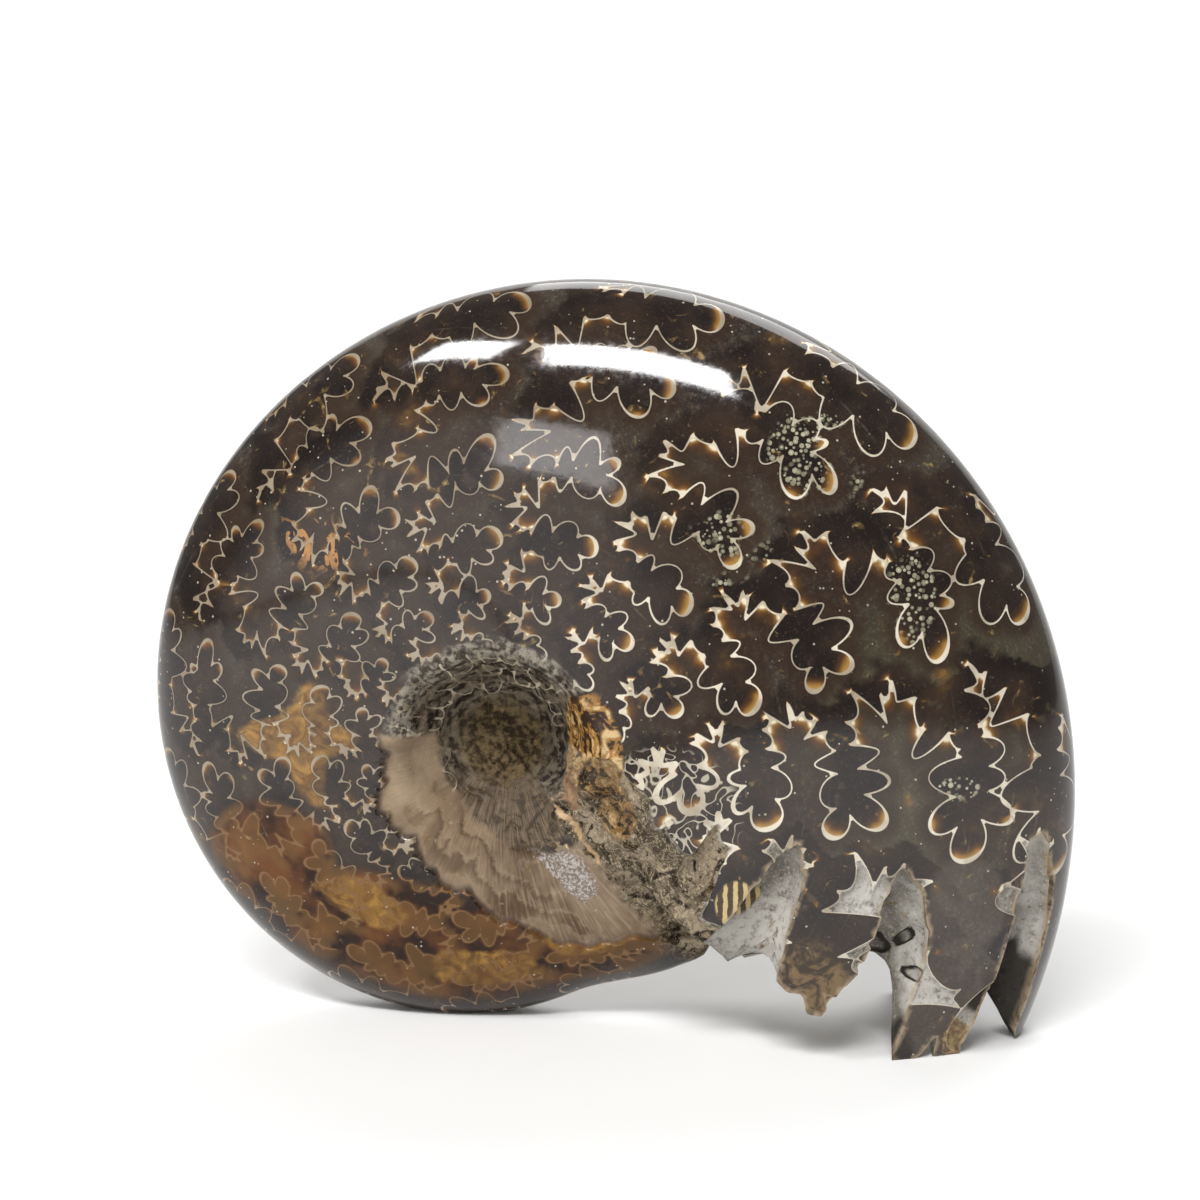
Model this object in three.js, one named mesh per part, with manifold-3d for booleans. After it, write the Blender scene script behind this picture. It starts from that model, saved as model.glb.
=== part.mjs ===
// Polished Cleoniceras ammonite, standing on a small flat spot of its outer whorl
// and on the tips of its broken chamber wall. Millimetres, +Z up, +X towards the broken end.
import * as THREE from 'three';
import { mergeVertices } from 'three/addons/utils/BufferGeometryUtils.js';
import Module from 'manifold-3d';

// Coil: a logarithmic spiral, a little oval
const END_RADIUS = 55.84;
const SHRINK_PER_RADIAN = 0.142;
const OVALITY = 0.022;
const OVAL_PHASE = 1.5;
const AXIS_X = -10.1;
const AXIS_HEIGHT = 28.8;

// Whorl section: half width against radius, and how blunt the flank is
const HALF_WIDTH_RATIO = 0.29;
const FLANK_POWER = 2.6;

// Umbilicus: the funnel round the axis, with the first whorls as a plug at its bottom
const UMBILICUS_RADIUS = 10.9;
const UMBILICUS_DRIFT = 1.0;
const PLUG_RADIUS = 4.7;
const PLUG_HALF_WIDTH = 4.0;

// Bare inner shell, sunk below the polish, from the umbilicus to the broken end
const SHELL_START = 172;
const SHELL_SINK = 0.9;
const SHELL_EDGE_SOFT = 1.1;
const SHELL_EDGE = [[172, 10.8], [219, 12.7], [253, 14.4], [276, 18.6], [296, 22.1], [318, 27.5], [345, 31]];

// Rock left on the inner whorl where it meets the broken end
const RESIDUE_START = 284;
const RESIDUE_FULL = 316;
const RESIDUE_HEIGHT = 4.4;
const KEEL_BUMP = 0.25;
const KEEL_BUMP_ANGLE = 260;
const KEEL_BUMP_SPREAD = 18;

// Broken edge of each flank: fraction of the whorl radius against degrees round the coil.
// Low values are fingers, high values are the notches between them.
const NEAR_EDGE = [
  [0, 8], [0.2, 6], [0.27, -6], [0.31, -17], [0.37, -21], [0.4, -12], [0.42, -16],
  [0.435, -33], [0.465, -32.5], [0.49, -22], [0.505, -17], [0.54, -12.5], [0.56, -17],
  [0.575, -30], [0.6, -34], [0.655, -36], [0.675, -28], [0.69, -15], [0.72, -13], [0.75, -15],
  [0.785, -20], [0.8, -31], [0.815, -36.3], [0.84, -36.3], [0.857, -33], [0.875, -35], [0.905, -34],
  [0.915, -18], [0.925, -8], [0.95, -7.5], [0.972, -12], [0.985, -29], [1, -30.3],
];
const FAR_EDGE = [
  [0, 8], [0.22, 4], [0.3, -10], [0.38, -20], [0.43, -14], [0.46, -24], [0.5, -24],
  [0.53, -14], [0.57, -16], [0.59, -25], [0.65, -26], [0.68, -15], [0.74, -14], [0.755, -22],
  [0.77, -33], [0.79, -36.3], [0.845, -36.3], [0.862, -26], [0.88, -12], [0.95, -9], [0.97, -14],
  [0.985, -29], [1, -30.3],
];

// Chamber wall inside the broken end: its lean, and where it meets the inner whorl
const WALL_ANGLE = -26;
const WALL_DROP = 15;
const WALL_DROP_RADIUS = 29.5;
const WALL_DROP_LENGTH = 5;
const FINGER_DEPTH = 0.3;
const CRUST_FOOT_ANGLE = -49;
const CRUST_END = 0.36;
const FINGERS_START = 0.42;

// Lumps of the crust that fills the step down to the inner shell
const LUMP_HEIGHT = 0.6;
const LUMP_LENGTH = 3.4;
const LUMPS_PER_TURN = 34;

// Mesh density: rows from the axis to the keel, closer together across the fingers
const UMBILICUS_SHARE = 0.24;
const ROW_BANDS = [[0, 0.24, 6], [0.24, 0.364, 3], [0.364, 0.56, 16], [0.56, 0.8, 13], [0.8, 0.92, 4], [0.92, 1, 2]];
const COIL_COLUMNS = 44;
const WALL_COLUMNS = 11;
const EDGE_REACH = 0.15;

const FULL_TURN = 2 * Math.PI;
const radians = THREE.MathUtils.degToRad;
const lerp = THREE.MathUtils.lerp;
const smooth = (x, low, high) => THREE.MathUtils.smoothstep(x, low, high);

// Value at x of a rounded line through points [x, value]
function roundedLine(points, x) {
  const last = points.length - 1;
  if (x <= points[0][0]) return points[0][1];
  if (x >= points[last][0]) return points[last][1];
  const i = points.findIndex((point) => point[0] > x);
  const [x0, y0] = points[i - 1];
  const [x1, y1] = points[i];
  return lerp(y0, y1, smooth(x, x0, x1));
}

function spiralRadius(angle) {
  const oval = 1 + OVALITY * Math.cos(2 * angle - OVAL_PHASE);
  const coil = END_RADIUS * Math.exp(-SHRINK_PER_RADIAN * angle) * oval;
  const residue = RESIDUE_HEIGHT * smooth(angle, radians(RESIDUE_START), radians(RESIDUE_FULL));
  const offBump = (angle - radians(KEEL_BUMP_ANGLE)) / radians(KEEL_BUMP_SPREAD);
  return coil + residue + KEEL_BUMP * Math.exp(-offBump * offBump);
}

function umbilicusRadius(angle) {
  return UMBILICUS_RADIUS + UMBILICUS_DRIFT * Math.cos(angle - radians(30));
}

// Distance of the flank from the middle plane
function flankHeight(radius, angle) {
  const whorl = spiralRadius(angle);
  const fraction = Math.min(1, radius / whorl);
  const flank = HALF_WIDTH_RATIO * whorl * Math.sqrt(1 - fraction ** FLANK_POWER);
  const shellEdge = roundedLine(SHELL_EDGE, THREE.MathUtils.radToDeg(angle));
  const onShell = smooth(angle, radians(SHELL_START), radians(SHELL_START + 12));
  const sunk = SHELL_SINK * onShell * (1 - smooth(radius, shellEdge - SHELL_EDGE_SOFT, shellEdge + SHELL_EDGE_SOFT));
  const wall = smooth(radius, PLUG_RADIUS, umbilicusRadius(angle));
  const level = Math.max(flank - Math.min(sunk, flank * 0.5), 0);
  return lerp(Math.min(PLUG_HALF_WIDTH, level), level, wall);
}

// Row position 0 to 1 from the axis to the keel, as a radius
function rowRadius(row, angle) {
  const rim = umbilicusRadius(angle);
  if (row < UMBILICUS_SHARE) return rim * row / UMBILICUS_SHARE;
  const across = (row - UMBILICUS_SHARE) / (1 - UMBILICUS_SHARE);
  return lerp(rim, spiralRadius(angle), Math.sin(across * Math.PI / 2));
}

// Point of the section at one angle: radius and signed distance from the middle plane
function sectionPoint(row, side, angle) {
  const radius = rowRadius(row, angle);
  return [radius, side * flankHeight(radius, angle)];
}

function brokenAngle(row, side) {
  const fraction = rowRadius(row, radians(-20)) / spiralRadius(radians(-20));
  return radians(roundedLine(side < 0 ? NEAR_EDGE : FAR_EDGE, fraction));
}

// Angle of the chamber wall, from the broken edge (depth 0) to the inner whorl (depth 1)
function wallAngle(row, side, depth) {
  const start = brokenAngle(row, side);
  const inner = rowRadius(row, start + FULL_TURN);
  const outer = rowRadius(row, start);
  const radius = lerp(outer, inner, depth);
  const drop = WALL_DROP * Math.min(1, Math.exp((WALL_DROP_RADIUS - radius) / WALL_DROP_LENGTH));
  const middle = radians(WALL_ANGLE - drop);
  const finger = middle + (start - middle) * (1 - smooth(depth, 0, FINGER_DEPTH));
  const crust = lerp(start, radians(CRUST_FOOT_ANGLE), depth);
  const fraction = outer / spiralRadius(start);
  return lerp(crust, finger, smooth(fraction, CRUST_END, FINGERS_START));
}

function wallSection(row, side, depth, angle) {
  const outer = sectionPoint(row, side, angle);
  const inner = sectionPoint(row, side, angle + FULL_TURN);
  const towardsMiddle = smooth(row, UMBILICUS_SHARE, 0.6);
  const bendRadius = lerp(outer[0], inner[0], lerp(0.5, 0.35, towardsMiddle));
  const bendHeight = lerp((outer[1] + inner[1]) / 2, outer[1] * 0.25, towardsMiddle);
  const bend = [bendRadius, bendHeight];
  const curve = (i) => (1 - depth) ** 2 * outer[i] + 2 * depth * (1 - depth) * bend[i] + depth ** 2 * inner[i];
  const onCrust = 4 * depth * (1 - depth) * (1 - smooth(row, 0.3, 0.4)) * smooth(row, 0.12, 0.24);
  const wave = Math.sin(FULL_TURN * curve(0) / LUMP_LENGTH) * Math.sin(LUMPS_PER_TURN * angle);
  return [curve(0), curve(1) + side * LUMP_HEIGHT * onCrust * wave];
}

function coilAngle(row, side, along) {
  const stop = wallAngle(row, side, 1) + FULL_TURN;
  const start = brokenAngle(row, side);
  const evenStart = radians(-22);
  const evenStop = radians(319);
  const nearStart = Math.max(0, 1 - along / EDGE_REACH);
  const nearStop = Math.max(0, 1 - (1 - along) / EDGE_REACH);
  return lerp(evenStart, evenStop, along) + (start - evenStart) * nearStart + (stop - evenStop) * nearStop;
}

function place([radius, across], angle) {
  return [AXIS_X + radius * Math.cos(angle), across, AXIS_HEIGHT + radius * Math.sin(angle)];
}

// One ring of points round the axis: along the coil, then back through the chamber wall
function ringPoints(row, side) {
  const points = [];
  for (let i = 0; i <= COIL_COLUMNS; i++) {
    const angle = coilAngle(row, side, i / COIL_COLUMNS);
    points.push(place(sectionPoint(row, side, angle), angle));
  }
  for (let i = WALL_COLUMNS - 1; i > 0; i--) {
    const depth = (i / WALL_COLUMNS) ** 1.4;
    const angle = wallAngle(row, side, depth);
    points.push(place(wallSection(row, side, depth, angle), angle));
  }
  return points;
}

// Rows from just off the axis to the keel
function rowPositions() {
  const rows = [];
  for (const [low, high, count] of ROW_BANDS) {
    for (let i = 1; i <= count; i++) rows.push(lerp(low, high, i / count));
  }
  return rows;
}

// Closed surface from the near end of the axis, over the keel, to the far end
function fossilSurface() {
  const rows = rowPositions();
  const nearRings = rows.map((row) => ringPoints(row, -1));
  const farRings = rows.slice(0, -1).map((row) => ringPoints(row, 1));
  const rings = [...nearRings, ...farRings.reverse()];
  const count = rings[0].length;
  const vertices = rings.flat(2);
  const nearPole = vertices.length / 3;
  vertices.push(AXIS_X, -PLUG_HALF_WIDTH, AXIS_HEIGHT, AXIS_X, PLUG_HALF_WIDTH, AXIS_HEIGHT);
  const farPole = nearPole + 1;
  const lastRing = (rings.length - 1) * count;
  const triangles = [];
  for (let j = 0; j < count; j++) {
    const next = (j + 1) % count;
    triangles.push(nearPole, j, next);
    triangles.push(farPole, lastRing + next, lastRing + j);
    for (let i = 0; i < rings.length - 1; i++) {
      const a = i * count + j;
      const b = i * count + next;
      triangles.push(a, b + count, b, a, a + count, b + count);
    }
  }
  return { vertices, triangles };
}

const wasm = await Module();
wasm.setup();

function toManifold(vertices, triangles) {
  const mesh = new wasm.Mesh({
    numProp: 3,
    vertProperties: new Float32Array(vertices),
    triVerts: new Uint32Array(triangles),
  });
  return new wasm.Manifold(mesh);
}

function boxManifold(width, depth, height, centre) {
  const box = new THREE.BoxGeometry(width, depth, height);
  box.translate(...centre);
  box.deleteAttribute('normal');
  box.deleteAttribute('uv');
  const welded = mergeVertices(box);
  return toManifold(welded.attributes.position.array, welded.index.array);
}

function toGeometry(manifold) {
  const mesh = manifold.getMesh();
  const geometry = new THREE.BufferGeometry();
  geometry.setAttribute('position', new THREE.BufferAttribute(new Float32Array(mesh.vertProperties), 3));
  geometry.setIndex(new THREE.BufferAttribute(new Uint32Array(mesh.triVerts), 1));
  geometry.computeVertexNormals();
  return geometry;
}

// The flat spot and the finger tips are ground to one plane, z = 0
const surface = fossilSurface();
const whole = toManifold(surface.vertices, surface.triangles);
const table = boxManifold(200, 100, 20, [0, 0, -10]);
const fossil = whole.subtract(table);

const stone = new THREE.MeshStandardMaterial({ color: 0x3a2f2a, roughness: 0.22, metalness: 0 });
const ammonite = new THREE.Mesh(toGeometry(fossil), stone);
ammonite.name = 'ammonite';

const group = new THREE.Group();
group.add(ammonite);

export default group;
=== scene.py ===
"""Polished Cleoniceras ammonite: a coil with its suture pattern, on a pale floor.

Named lengths are in millimetres and named angles in degrees, except those of the floor and the
lights, which are in metres. The coil's own angle runs in radians from the broken end inwards.
"""

import math
import random
from functools import partial

import bmesh
import bpy
import numpy as np
from mathutils import Matrix, Vector, kdtree, noise
from mathutils.geometry import delaunay_2d_cdt


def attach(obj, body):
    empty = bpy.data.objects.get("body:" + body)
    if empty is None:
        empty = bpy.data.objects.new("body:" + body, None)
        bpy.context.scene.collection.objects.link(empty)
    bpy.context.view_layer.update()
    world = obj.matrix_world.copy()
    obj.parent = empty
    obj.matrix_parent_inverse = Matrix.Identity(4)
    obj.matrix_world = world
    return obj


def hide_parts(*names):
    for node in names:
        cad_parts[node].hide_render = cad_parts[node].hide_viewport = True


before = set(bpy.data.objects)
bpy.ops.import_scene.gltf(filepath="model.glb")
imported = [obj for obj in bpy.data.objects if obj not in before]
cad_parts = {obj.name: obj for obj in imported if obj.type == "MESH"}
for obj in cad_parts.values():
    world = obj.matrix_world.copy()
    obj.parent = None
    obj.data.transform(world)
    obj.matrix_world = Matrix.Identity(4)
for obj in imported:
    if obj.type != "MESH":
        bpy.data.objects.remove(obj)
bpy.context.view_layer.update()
scene = bpy.context.scene

MM = 0.001
FULL_TURN = 2 * math.pi

# Coil, the same sizes as the solid
END_RADIUS = 55.84
SHRINK_PER_RADIAN = 0.142
OVALITY = 0.022
OVAL_PHASE = 1.5
AXIS_X = -10.1
AXIS_HEIGHT = 28.8
HALF_WIDTH_RATIO = 0.29
FLANK_POWER = 2.6

# Umbilicus and the bare inner shell
UMBILICUS_RADIUS = 10.9
UMBILICUS_DRIFT = 1.0
PLUG_RADIUS = 4.7
PLUG_HALF_WIDTH = 4.0
SHELL_START = 172
SHELL_START_FADE = 12
SHELL_SINK = 0.9
SHELL_EDGE_SOFT = 0.25
SHELL_INNER_EDGE = [(172, 6.2), (230, 6.6), (259, 8.1), (283, 10.4), (300, 12), (320, 13)]
SHELL_EDGE = [(172, 10.8), (219, 12.7), (253, 14.4), (276, 18.6), (296, 22.1), (318, 27.5), (345, 31)]

# Rock left at the foot of the broken end, and the slight swelling of the keel near the flat spot
RESIDUE_START = 284
RESIDUE_FULL = 316
RESIDUE_HEIGHT = 4.4
KEEL_BUMP = 0.25
KEEL_BUMP_ANGLE = 260
KEEL_BUMP_SPREAD = 18

# Broken edge of each flank: fraction of the keel's radius at the middle angle, degrees round the coil
EDGE_MIDDLE_ANGLE = -20
NEAR_EDGE = [
    (0, 8), (0.2, 6), (0.27, -6), (0.31, -17), (0.37, -21), (0.4, -12), (0.42, -16),
    (0.435, -33), (0.465, -32.5), (0.49, -22), (0.505, -17), (0.54, -12.5), (0.56, -17),
    (0.567, -29), (0.588, -35.6), (0.61, -36), (0.632, -35.2), (0.658, -37), (0.677, -36.4),
    (0.688, -31), (0.698, -29), (0.703, -18), (0.72, -13), (0.75, -15), (0.785, -20), (0.8, -31),
    (0.815, -36.3), (0.842, -36.3), (0.85, -34.4), (0.861, -31.6), (0.873, -33.6), (0.882, -35),
    (0.908, -34), (0.914, -29), (0.917, -18), (0.925, -8), (0.95, -7.5),
    (0.972, -12), (0.985, -29), (1, -30.3),
]
FAR_EDGE = [
    (0, 8), (0.22, 4), (0.3, -10), (0.38, -20), (0.43, -14), (0.46, -24), (0.5, -24),
    (0.53, -14), (0.57, -16), (0.59, -25), (0.65, -26), (0.68, -15), (0.74, -14), (0.755, -22),
    (0.77, -33), (0.79, -36.3), (0.845, -36.3), (0.862, -26), (0.88, -12), (0.95, -9), (0.97, -14),
    (0.985, -29), (1, -30.3),
]

# Chamber wall in the broken end
WALL_ANGLE = -26
WALL_DROP = 15
WALL_DROP_RADIUS = 29.5
WALL_DROP_LENGTH = 5
FINGER_DEPTH = 0.3
CRUST_FOOT_ANGLE = -49
CRUST_END = 0.36
FINGERS_START = 0.42

# Crust: its reach on the chamber wall, its first angle on the coil, its reach at the coil's start
CRUST_RADIUS = 27.5
CRUST_START = 307
START_CRUST_RADIUS = 26

# Points below this height are on the flat spot
FLAT_SPOT_HEIGHT = 0.02

# Share of the rows across a flank that lies inside the umbilicus
UMBILICUS_SHARE = 0.24

# Mesh spacing
EDGE_STEP = {-1: 0.36, 1: 0.7}
LINE_STEP = {-1: 0.2, 1: 0.34}
LINE_SIDE_STEP = 0.3
OPEN_STEP = {-1: 0.85, 1: 1.2}
DETAIL_STEP = {-1: 0.36, 1: 0.6}
WALL_COLUMNS = 22
FIRST_ROW = 0.02

# Angle, in radians, at which the two ends of the axis are measured
POLE_ANGLE = 2.0

# First angle, last angle and step of the samples along a row of mesh points
GRID_ANGLES = (-37, 330, 0.05)

# Distances beyond which a suture no longer counts
GAP_LIMIT = 3
FAR_AWAY = 9

# Relief, besides the general roughness
CHAMBER_WALL_SINK = 0.35
PIT_DEPTH = 0.5
FLAKE_SPACING = 3.0
FLAKE_DEPTH = 0.34

# Material
CRYSTAL_SIZE = 0.52
LINE_BLUR = (-0.02, 0.05)
STRIPE_PITCH = 0.95
STRIPE_WOBBLE = 0.4
BUMP_DEPTH = 0.15

# Coloured places on both flanks: x, z, half length, half height, degrees turned
PLACES = {
    "amber": ((-19, 9, 21, 9, -12), (-2, 8, 12, 5, 8), (-33, 17, 9, 8, 0)),
    "gold": (
        (-1, 10, 7, 3.5, 10), (-12, 6, 9, 3, 0), (-30, 29.6, 9, 3, 0), (-28.5, 29, 3, 8, 0),
        (-24, 13, 7, 3, -20),
    ),
    "flecks": ((-27, 49, 6, 3, -15),),
    "olive": ((33, 32, 16, 20, 0),),
    "crystals": ((21, 58, 5, 6, 40), (13, 50, 5, 4, 30), (30, 45, 3, 5, 0), (35, 27, 2.4, 1.4, 0)),
    "mineral": ((0.3, 30, 4.4, 8.5, 8), (2.5, 24, 3, 4.5, 0)),
    "stripes": ((14.4, 16.2, 2.6, 3.0, 0),),
    "dark_tip": ((41, 2, 5, 9, 0), (38, 8, 4, 6, 20), (30.2, 0.5, 2.5, 5, 0)),
    "gold_tip": ((35.4, 0.5, 2.0, 4.2, 0),),
    "brown_tip": ((21.5, 6.5, 5.0, 8.0, 0),),
    "worn": ((34.3, 5.0, 5, 10, 0), (36, 15, 5, 7, 0)),
    "pits": ((27.0, 10.3, 1.1, 0.8, -30), (30.8, 8.6, 1.2, 0.75, 20), (29.4, 11.6, 0.9, 0.6, 0)),
    "calcite": ((8, 25, 9, 8, -20),),
    "nodule": ((-2.7, 26.0, 1.6, 3.6, 12),),
    "sugar": ((-4, 17.5, 2.6, 7.5, 38),),
}

# Floor: it runs level to the back, then bends up. Metres
SWEEP_FRONT = -1.2
SWEEP_START = 0.9
SWEEP_RADIUS = 1.2
SWEEP_TOP = 1.8
SWEEP_HALF_WIDTH = 1.8
SWEEP_STEPS = 24

# Camera: azimuth from the front, elevation, distance, and offset to the right and up
VIEW = (8, 10)
VIEW_DISTANCE = 330
VIEW_OFFSET = (9.1, 13.24)
LENS = 99
SENSOR_WIDTH = 36

# Soft lights: azimuth from the front, elevation, distance in metres, width, height, brightness
LIGHTS = {
    "long_softbox": (-2, 50, 0.9, 0.44, 0.15, 31),
    "short_softbox": (-45, 50, 0.9, 0.24, 0.12, 32),
    "front_window": (-16, 22, 1.0, 0.23, 0.17, 5.0),
    "back_light": (170, 50, 1.0, 0.8, 0.5, 4),
}
LIGHT_TARGET = np.array([0, 0, 0.04])

# Strip light that is turned away from the fossil, towards the backdrop
WASH_ELEVATION = 12
WASH_PLACE = (0, 0.5, 1.5)
WASH_SIZE = (3.0, 0.6)
WASH_POWER = 38

# Room: dim, with a soft glow low down on the left in front
GLOW_DIRECTION = (-0.5, -0.86, -0.05)
GLOW_EDGE = 0.80
ROOM_STRENGTH = 0.24
GLOW_STRENGTH = 1.35


def smooth(x, low, high):
    t = np.clip((np.asarray(x, float) - low) / (high - low), 0, 1)
    return t * t * (3 - 2 * t)


def lerp(a, b, t):
    return a + (b - a) * t


def rounded_line(points, x):
    """Value at x of a line through points (x, value) that eases in and out of each one."""
    xs = np.array([p[0] for p in points], float)
    ys = np.array([p[1] for p in points], float)
    x = np.clip(np.asarray(x, float), xs[0], xs[-1])
    i = np.clip(np.searchsorted(xs, x, side="right") - 1, 0, len(xs) - 2)
    t = (x - xs[i]) / (xs[i + 1] - xs[i])
    return lerp(ys[i], ys[i + 1], t * t * (3 - 2 * t))


def spiral_radius(angle):
    """Radius of the keel."""
    oval = 1 + OVALITY * np.cos(2 * angle - OVAL_PHASE)
    coil = END_RADIUS * np.exp(-SHRINK_PER_RADIAN * angle) * oval
    residue = RESIDUE_HEIGHT * smooth(np.degrees(angle), RESIDUE_START, RESIDUE_FULL)
    off_bump = (np.degrees(angle) - KEEL_BUMP_ANGLE) / KEEL_BUMP_SPREAD
    return coil + residue + KEEL_BUMP * np.exp(-off_bump * off_bump)


def umbilicus_radius(angle):
    return UMBILICUS_RADIUS + UMBILICUS_DRIFT * np.cos(angle - math.radians(30))


def shell_depth(radius, angle):
    """Millimetres inside the edge of the bare inner shell, negative on the polish."""
    ragged = 0.5 * np.sin(9 * angle) + 0.3 * np.sin(23 * angle + 1) + 0.2 * np.sin(47 * angle)
    return rounded_line(SHELL_EDGE, np.degrees(angle)) + ragged - radius


def flank_height(radius, angle):
    """Distance of the surface from the middle plane."""
    whorl = spiral_radius(angle)
    fraction = np.minimum(1, radius / whorl)
    flank = HALF_WIDTH_RATIO * whorl * np.sqrt(1 - fraction**FLANK_POWER)
    on_shell = smooth(np.degrees(angle), SHELL_START, SHELL_START + SHELL_START_FADE)
    sunk = SHELL_SINK * on_shell * smooth(shell_depth(radius, angle), -SHELL_EDGE_SOFT, SHELL_EDGE_SOFT)
    wall = smooth(radius, PLUG_RADIUS, umbilicus_radius(angle))
    level = flank - np.minimum(sunk, flank * 0.5)
    return lerp(np.minimum(PLUG_HALF_WIDTH, level), level, wall)


def row_radius(row, angle):
    """Radius of a row, which is 0 at the axis, UMBILICUS_SHARE at the rim and 1 at the keel."""
    rim = umbilicus_radius(angle)
    across = np.clip((row - UMBILICUS_SHARE) / (1 - UMBILICUS_SHARE), 0, 1)
    flank = lerp(rim, spiral_radius(angle), np.sin(across * math.pi / 2))
    return np.where(row < UMBILICUS_SHARE, rim * row / UMBILICUS_SHARE, flank)


def radius_row(radius, angle):
    rim = umbilicus_radius(angle)
    sine = np.clip((radius - rim) / (spiral_radius(angle) - rim), 0, 1)
    flank = UMBILICUS_SHARE + (1 - UMBILICUS_SHARE) * np.arcsin(sine) * 2 / math.pi
    return np.where(radius < rim, UMBILICUS_SHARE * radius / rim, flank)


def place(radius, across, angle):
    x = AXIS_X + radius * np.cos(angle)
    z = AXIS_HEIGHT + radius * np.sin(angle)
    return np.stack([x, across, z], -1)


def coil_point(span, angle):
    """Point of the coil. span runs from -1 at the near end of the axis, over 0 at the keel, to 1."""
    radius = row_radius(1 - np.abs(span), angle)
    return place(radius, np.sign(span) * flank_height(radius, angle), angle)


def broken_angle(row, side):
    """Angle of the broken edge on the near flank, side -1, or the far one, side 1."""
    start = math.radians(EDGE_MIDDLE_ANGLE)
    fraction = row_radius(row, start) / spiral_radius(start)
    near = rounded_line(NEAR_EDGE, fraction)
    far = rounded_line(FAR_EDGE, fraction)
    return np.radians(np.where(side < 0, near, far))


def wall_angle(row, side, depth):
    """Angle of the chamber wall, whose depth is 0 at the broken edge and 1 on the whorl within."""
    start = broken_angle(row, side)
    outer = row_radius(row, start)
    inner = row_radius(row, start + FULL_TURN)
    radius = lerp(outer, inner, depth)
    drop = WALL_DROP * np.minimum(1, np.exp((WALL_DROP_RADIUS - radius) / WALL_DROP_LENGTH))
    middle = np.radians(WALL_ANGLE - drop)
    finger = middle + (start - middle) * (1 - smooth(depth, 0, FINGER_DEPTH))
    crust = lerp(start, math.radians(CRUST_FOOT_ANGLE), depth)
    return lerp(crust, finger, smooth(outer / spiral_radius(start), CRUST_END, FINGERS_START))


def wall_point(row, side, depth):
    angle = wall_angle(row, side, depth)
    outer_r = row_radius(row, angle)
    inner_r = row_radius(row, angle + FULL_TURN)
    outer_y = side * flank_height(outer_r, angle)
    inner_y = side * flank_height(inner_r, angle + FULL_TURN)
    towards_middle = smooth(row, UMBILICUS_SHARE, 0.6)
    bend_r = lerp(outer_r, inner_r, lerp(0.5, 0.35, towards_middle))
    bend_y = lerp((outer_y + inner_y) / 2, outer_y * 0.25, towards_middle)
    a, b, c = (1 - depth) ** 2, 2 * depth * (1 - depth), depth**2
    return place(a * outer_r + b * bend_r + c * inner_r, a * outer_y + b * bend_y + c * inner_y, angle)


# Section of the flank as arc length from the keel, in whorl radii, and as an even-angled map
PROFILE_TURN = np.linspace(0, math.pi / 2, 4001)
PROFILE_FRACTION = np.cos(PROFILE_TURN)
PROFILE_HEIGHT = HALF_WIDTH_RATIO * np.sqrt(np.maximum(0, 1 - PROFILE_FRACTION**FLANK_POWER))
PROFILE_STEP = np.hypot(np.diff(PROFILE_FRACTION), np.diff(PROFILE_HEIGHT))
PROFILE_ARC = np.concatenate([[0], np.cumsum(PROFILE_STEP)])
PROFILE_MIDDLE = np.maximum((PROFILE_FRACTION[1:] + PROFILE_FRACTION[:-1]) / 2, 1e-4)
PROFILE_MAP = np.concatenate([[0], np.cumsum(PROFILE_STEP / PROFILE_MIDDLE)])


def arc_at(fraction):
    return np.interp(-np.asarray(fraction, float), -PROFILE_FRACTION, PROFILE_ARC)


def fraction_at(arc):
    return np.interp(np.abs(arc), PROFILE_ARC, PROFILE_FRACTION)


def map_height(span, angle):
    """Height on the even-angled map of the coil, whose other axis is the angle."""
    fraction = row_radius(1 - np.abs(span), angle) / spiral_radius(angle)
    return np.sign(span) * np.interp(-fraction, -PROFILE_FRACTION, PROFILE_MAP)


def map_span(height, angle):
    fraction = np.interp(np.abs(height), PROFILE_MAP, PROFILE_FRACTION)
    whorl = spiral_radius(angle)
    return np.sign(height) * (1 - radius_row(fraction * whorl, angle))


# Suture lines. A saddle, between the tips of two lobes, is a list of cusps: place across (0 at
# the lobe on the keel side, 2 at the other), place along (0 at the tip of the lobe, 1 at the end
# of the saddle) and how far the rounded arc that follows the cusp bulges towards the aperture.
BROAD = [
    (0, 0, 1.06), (0.3, -0.03, 0.79), (0.5, 0.1, 0.82), (0.46, 0.26, 0.3), (0.36, 0.33, 1.0),
    (0.34, 0.45, 1.1), (0.35, 0.58, 1.8), (0.52, 0.67, 2.4), (0.97, 0.73, 1.43), (1.04, 0.59, 1.19),
    (0.93, 0.43, 0.79), (0.96, 0.34, 0.3), (1.06, 0.26, 2.03), (1.65, 0.26, 0.3), (1.6, 0.09, 1.2),
    (2, 0, None),
]
LONG = [
    (0, 0, 0.89), (0.29, 0.04, 1.95), (0.84, 0.01, 0.54), (1.0, 0.17, 0.54), (1.0, 0.32, 1.57),
    (0.92, 0.46, 1.56), (0.88, 0.63, 2.26), (1.08, 0.75, 2.9), (1.4, 0.72, 0.75), (1.3, 0.51, 1.52),
    (1.3, 0.37, 0.42), (1.43, 0.23, 2.6), (1.63, 0.14, 0.61), (1.71, 0.06, 1.56), (2, 0, None),
]
MIDDLE = [
    (0, 0, 1.47), (0.5, 0.06, 0.32), (0.72, 0.14, 0.56), (0.75, 0.28, 1.31), (0.78, 0.44, 0.91),
    (0.74, 0.69, 2.07), (1.21, 0.79, 1.3), (1.34, 0.6, 1.34), (1.42, 0.43, 0.35), (1.28, 0.33, 0.32),
    (1.41, 0.17, 1.79), (1.72, 0.04, 1.42), (2, 0, None),
]
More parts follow.
